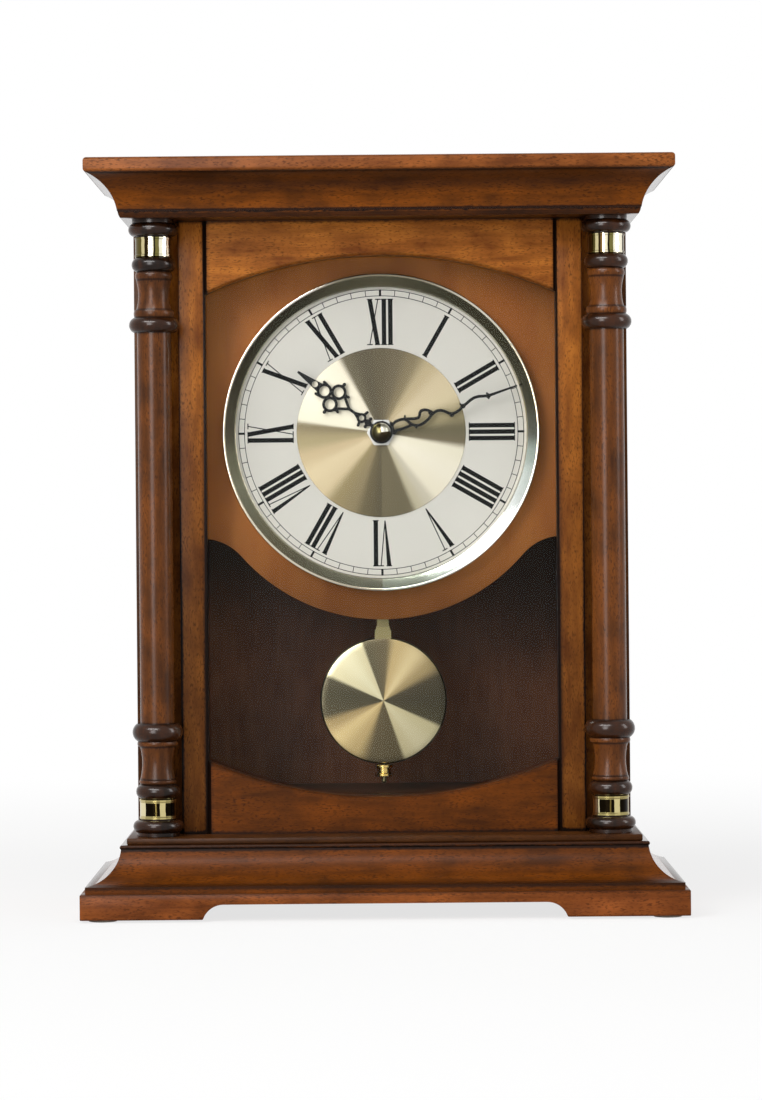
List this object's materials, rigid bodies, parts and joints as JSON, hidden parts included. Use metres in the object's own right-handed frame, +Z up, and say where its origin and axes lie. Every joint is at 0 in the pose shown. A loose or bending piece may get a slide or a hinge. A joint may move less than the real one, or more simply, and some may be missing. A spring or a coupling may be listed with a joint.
{
  "type": "desk pendulum clock",
  "caption": "Wooden mantel clock with turned columns, coved base and cornice, round Roman dial, pierced hands and a pendulum behind an arched window.",
  "frame": {"origin": "on the floor, under the middle of the clock", "axes": "+X to the viewer's right, +Y to the back (the dial faces -Y), +Z up"},
  "size_m": [0.253, 0.121, 0.3175],
  "materials": {
    "case_wood": "satin stained hardwood",
    "dark_wood": "gloss dark stained hardwood",
    "veneer": "smooth veneered board",
    "back_board": "plain board",
    "felt": "felt",
    "glass": "clear",
    "brass": "polished",
    "gilt": "spun satin",
    "bezel_metal": "polished",
    "white_enamel": "matte white",
    "black_paint": "satin black",
    "steel": "plated",
    "black_plastic": "moulded",
    "white_plastic": "moulded",
    "red_plastic": "moulded",
    "battery_skin": "plain sleeve",
    "circuit_green": "printed board",
    "copper": "enamelled wire"
  },
  "bodies": {
    "case": {"back_rails": "case_wood", "base_board": "case_wood", "base_moulding": "case_wood", "batteries": "battery_skin", "battery_contacts": "steel", "bezel_ring": "bezel_metal", "case_boards": "back_board", "case_hardware": "steel", "case_screws": "steel", "centre_bush": "brass", "centre_nut": "brass", "circuit_board": "circuit_green", "coils": "copper", "column_brass_bands": "brass", "column_rings": "dark_wood", "columns": "dark_wood", "cornice": "case_wood", "dial_board": "veneer", "dial_centre_disc": "gilt", "dial_plate": "white_enamel", "felt_pads": "felt", "front_stiles": "case_wood", "glass_clips": "steel", "glass_pane": "glass", "lower_arch_rail": "case_wood", "motor_stator": "steel", "movement_front_shell": "black_plastic", "movement_plate": "white_plastic", "movement_rear_shell": "black_plastic", "plinth_front": "case_wood", "plinth_sides": "case_wood", "side_panels": "case_wood", "speaker": "black_plastic", "top_board": "case_wood", "upper_arch_rail": "case_wood"},
    "minute": {"minute_arbor": "steel", "minute_hand": "black_paint", "hand_cap_nut": "brass", "setting_knob": "black_plastic"},
    "hour": {"hour_wheel": "white_plastic", "hour_hand": "black_paint"},
    "motion": {"motion_wheel": "white_plastic"},
    "centre": {"centre_wheel": "white_plastic"},
    "third": {"third_wheel": "white_plastic"},
    "seconds": {"seconds_wheel": "white_plastic"},
    "intermediate": {"intermediate_wheel": "white_plastic"},
    "rotor": {"motor_rotor": "white_plastic"},
    "pendulum": {"pendulum_hanger": "brass", "pendulum_magnet": "steel", "pendulum_rod": "brass", "pendulum_bob": "brass"},
    "rating": {"rating_nut": "brass"},
    "door": {"back_door": "back_board", "door_hardware": "steel"},
    "cover": {"battery_cover": "black_plastic"},
    "selector": {"chime_selector": "white_plastic"},
    "silence": {"night_silence_switch": "white_plastic"},
    "volume": {"volume_knob": "white_plastic"},
    "button": {"test_button": "red_plastic"}
  },
  "joints": [
    {"name": "minute_turn", "type": "hinge", "parent": "case", "child": "minute", "pos_m": [0, 0, 0.2034], "axis": [0, 1, 0], "continuous": true},
    {"name": "hour_turn", "type": "hinge", "parent": "case", "child": "hour", "pos_m": [0, 0, 0.2034], "axis": [0, 1, 0], "continuous": true},
    {"name": "motion_turn", "type": "hinge", "parent": "case", "child": "motion", "pos_m": [0.00866, 0.008, 0.1984], "axis": [0, 1, 0], "continuous": true},
    {"name": "seconds_turn", "type": "hinge", "parent": "case", "child": "seconds", "pos_m": [-0.01639, 0.012, 0.20395], "axis": [0, 1, 0], "continuous": true},
    {"name": "third_turn", "type": "hinge", "parent": "case", "child": "third", "pos_m": [-0.00895, 0.012, 0.20666], "axis": [0, 1, 0], "continuous": true},
    {"name": "centre_turn", "type": "hinge", "parent": "case", "child": "centre", "pos_m": [0, 0.012, 0.2034], "axis": [0, 1, 0], "continuous": true},
    {"name": "intermediate_turn", "type": "hinge", "parent": "case", "child": "intermediate", "pos_m": [-0.02024, 0.012, 0.19728], "axis": [0, 1, 0], "continuous": true},
    {"name": "rotor_turn", "type": "hinge", "parent": "case", "child": "rotor", "pos_m": [-0.02024, 0.012, 0.19068], "axis": [0, 1, 0], "continuous": true},
    {"name": "pendulum_swing", "type": "hinge", "parent": "case", "child": "pendulum", "pos_m": [0, 0.01001, 0.1734], "axis": [0, 1, 0], "range_deg": [-10, 10]},
    {"name": "rating_turn", "type": "hinge", "parent": "pendulum", "child": "rating", "pos_m": [0, 0.01001, 0.0577], "axis": [0, 0, 1], "continuous": true},
    {"name": "door_swing", "type": "hinge", "parent": "case", "child": "door", "pos_m": [0.0917, 0.059, 0.166], "axis": [0, 0, -1], "range_deg": [0, 95]},
    {"name": "cover_pull", "type": "slide", "parent": "case", "child": "cover", "axis": [0, 1, 0], "range_m": [0, 0.012]},
    {"name": "selector_slide", "type": "slide", "parent": "case", "child": "selector", "axis": [1, 0, 0], "range_m": [0, 0.006]},
    {"name": "silence_slide", "type": "slide", "parent": "case", "child": "silence", "axis": [1, 0, 0], "range_m": [0, 0.006]},
    {"name": "volume_turn", "type": "hinge", "parent": "case", "child": "volume", "pos_m": [-0.013, 0.034, 0.23], "axis": [0, 1, 0], "range_deg": [-135, 135]},
    {"name": "test_press", "type": "slide", "parent": "case", "child": "button", "axis": [0, -1, 0], "range_m": [0, 0.0015], "stiffness_N_per_m": 100}
  ],
  "couplings": [
    {"joint": "hour_turn", "follows": "minute_turn", "ratio": 0.083333},
    {"joint": "motion_turn", "follows": "minute_turn", "ratio": -0.33333},
    {"joint": "third_turn", "follows": "seconds_turn", "ratio": -0.125},
    {"joint": "centre_turn", "follows": "seconds_turn", "ratio": 0.016667},
    {"joint": "intermediate_turn", "follows": "seconds_turn", "ratio": -6},
    {"joint": "rotor_turn", "follows": "seconds_turn", "ratio": 30}
  ]
}
